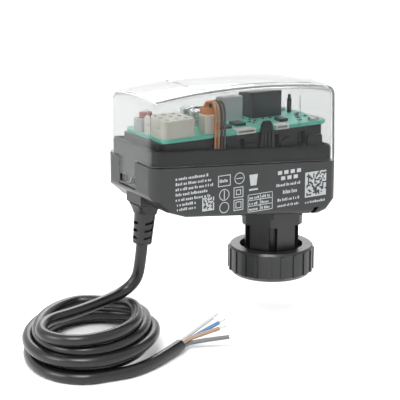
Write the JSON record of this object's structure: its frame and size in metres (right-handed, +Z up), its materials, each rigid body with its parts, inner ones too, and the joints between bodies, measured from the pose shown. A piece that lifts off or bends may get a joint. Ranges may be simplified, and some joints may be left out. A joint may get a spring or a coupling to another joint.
{
  "type": "motorized valve actuator",
  "caption": "Motorised valve actuator with a clear cover over its board and gears, a threaded union nut below, and a coiled lead with bare cores.",
  "frame": {"origin": "centre of the union nut's lower face, where the valve enters", "axes": "+Z up along the stem and nut axis, X along the housing with the lead at -X, -Y the marked front face"},
  "size_m": [0.1543, 0.077, 0.1137],
  "materials": {
    "charcoal_plastic": "satin dark charcoal moulding",
    "clear_plastic": "clear polycarbonate",
    "black_plastic": "black moulding",
    "board_green": "green solder mask",
    "cream_plastic": "cream connector moulding",
    "white_plastic": "white moulding",
    "orange_plastic": "orange moulding",
    "brown_plastic": "brown insulation",
    "grey_plastic": "light grey moulding",
    "dark_grey_plastic": "dark grey moulding",
    "red_plastic": "red button",
    "rubber_black": "soft black seal",
    "cable_black": "black PVC sheath",
    "core_white": "white core insulation",
    "core_blue": "blue core insulation",
    "core_brown": "tan core insulation",
    "core_grey": "grey core insulation",
    "tinned_wire": "tinned copper strands",
    "gear_plastic": "ivory acetal",
    "steel": "bright steel",
    "bronze": "sintered bronze",
    "aluminium": "can of a capacitor",
    "tan_plastic": "tan insulation",
    "brass_pinion": "turned brass pinion"
  },
  "bodies": {
    "actuator": {"lower_housing": "charcoal_plastic", "cover_gasket": "rubber_black", "chassis": "black_plastic", "circuit_board": "board_green", "lead_socket": "cream_plastic", "reset_switch_body": "grey_plastic", "motor_header": "cream_plastic", "motor_lead_plug": "orange_plastic", "power_relay": "dark_grey_plastic", "film_capacitor": "grey_plastic", "choke_block": "brown_plastic", "electrolytic_capacitors": "aluminium", "board_chips": "dark_grey_plastic", "status_light": "dark_grey_plastic", "edge_socket_1": "white_plastic", "edge_socket_2": "white_plastic", "board_screws": "steel", "gear_pins": "steel", "motor_can": "steel", "motor_screws": "steel", "gear_plate": "steel", "plate_screws": "steel", "thrust_washer": "bronze", "valve_neck": "charcoal_plastic", "neck_bush": "bronze", "lead_plug": "black_plastic", "strain_relief": "cable_black", "motor_terminal_block": "white_plastic", "motor_lead_orange": "orange_plastic", "motor_lead_brown": "brown_plastic", "motor_lead_cream": "tan_plastic", "motor_lead_grey": "core_grey", "cable_lead": "cable_black", "cable_coil": "cable_black", "cable_tail": "cable_black", "core_white": "core_white", "core_blue": "core_blue", "core_brown": "core_brown", "core_grey": "core_grey", "core_tips": "tinned_wire"},
    "cover": {"clear_cover": "clear_plastic"},
    "button": {"reset_button": "red_plastic"},
    "nut": {"union_nut": "charcoal_plastic"},
    "output": {"output_gear": "gear_plastic"},
    "second": {"second_gear": "gear_plastic"},
    "first": {"first_gear": "gear_plastic"},
    "rotor": {"motor_rotor": "brass_pinion"},
    "stem": {"drive_stem": "steel", "pressure_foot": "black_plastic"}
  },
  "joints": [
    {"name": "cover_lift", "type": "slide", "parent": "actuator", "child": "cover", "axis": [0, 0, 1], "range_m": [0, 0.05]},
    {"name": "button_press", "type": "slide", "parent": "actuator", "child": "button", "axis": [0, 0, -1], "range_m": [0, 0.0005], "stiffness_N_per_m": 400},
    {"name": "nut_spin", "type": "hinge", "parent": "actuator", "child": "nut", "pos_m": [0, 0, 0.005], "axis": [0, 0, 1], "continuous": true},
    {"name": "output_spin", "type": "hinge", "parent": "actuator", "child": "output", "pos_m": [0, 0, 0.046], "axis": [0, 0, 1], "range_deg": [0, 540]},
    {"name": "stem_travel", "type": "slide", "parent": "actuator", "child": "stem", "axis": [0, 0, -1], "range_m": [0, 0.0056]},
    {"name": "second_spin", "type": "hinge", "parent": "actuator", "child": "second", "pos_m": [-0.01956, 0.00416, 0.046], "axis": [0, 0, 1], "range_deg": [-1716, 0]},
    {"name": "first_spin", "type": "hinge", "parent": "actuator", "child": "first", "pos_m": [-0.03453, -0.00347, 0.052], "axis": [0, 0, 1], "range_deg": [0, 4281]},
    {"name": "rotor_spin", "type": "hinge", "parent": "actuator", "child": "rotor", "pos_m": [-0.05076, 0.00088, 0.052], "axis": [0, 0, 1], "range_deg": [-10693.5, 0]}
  ],
  "couplings": [
    {"joint": "second_spin", "follows": "output_spin", "ratio": -3.1667},
    {"joint": "first_spin", "follows": "output_spin", "ratio": 7.9167},
    {"joint": "rotor_spin", "follows": "output_spin", "ratio": -19.792},
    {"joint": "stem_travel", "follows": "output_spin", "m_per_rad": 0.00058357}
  ]
}
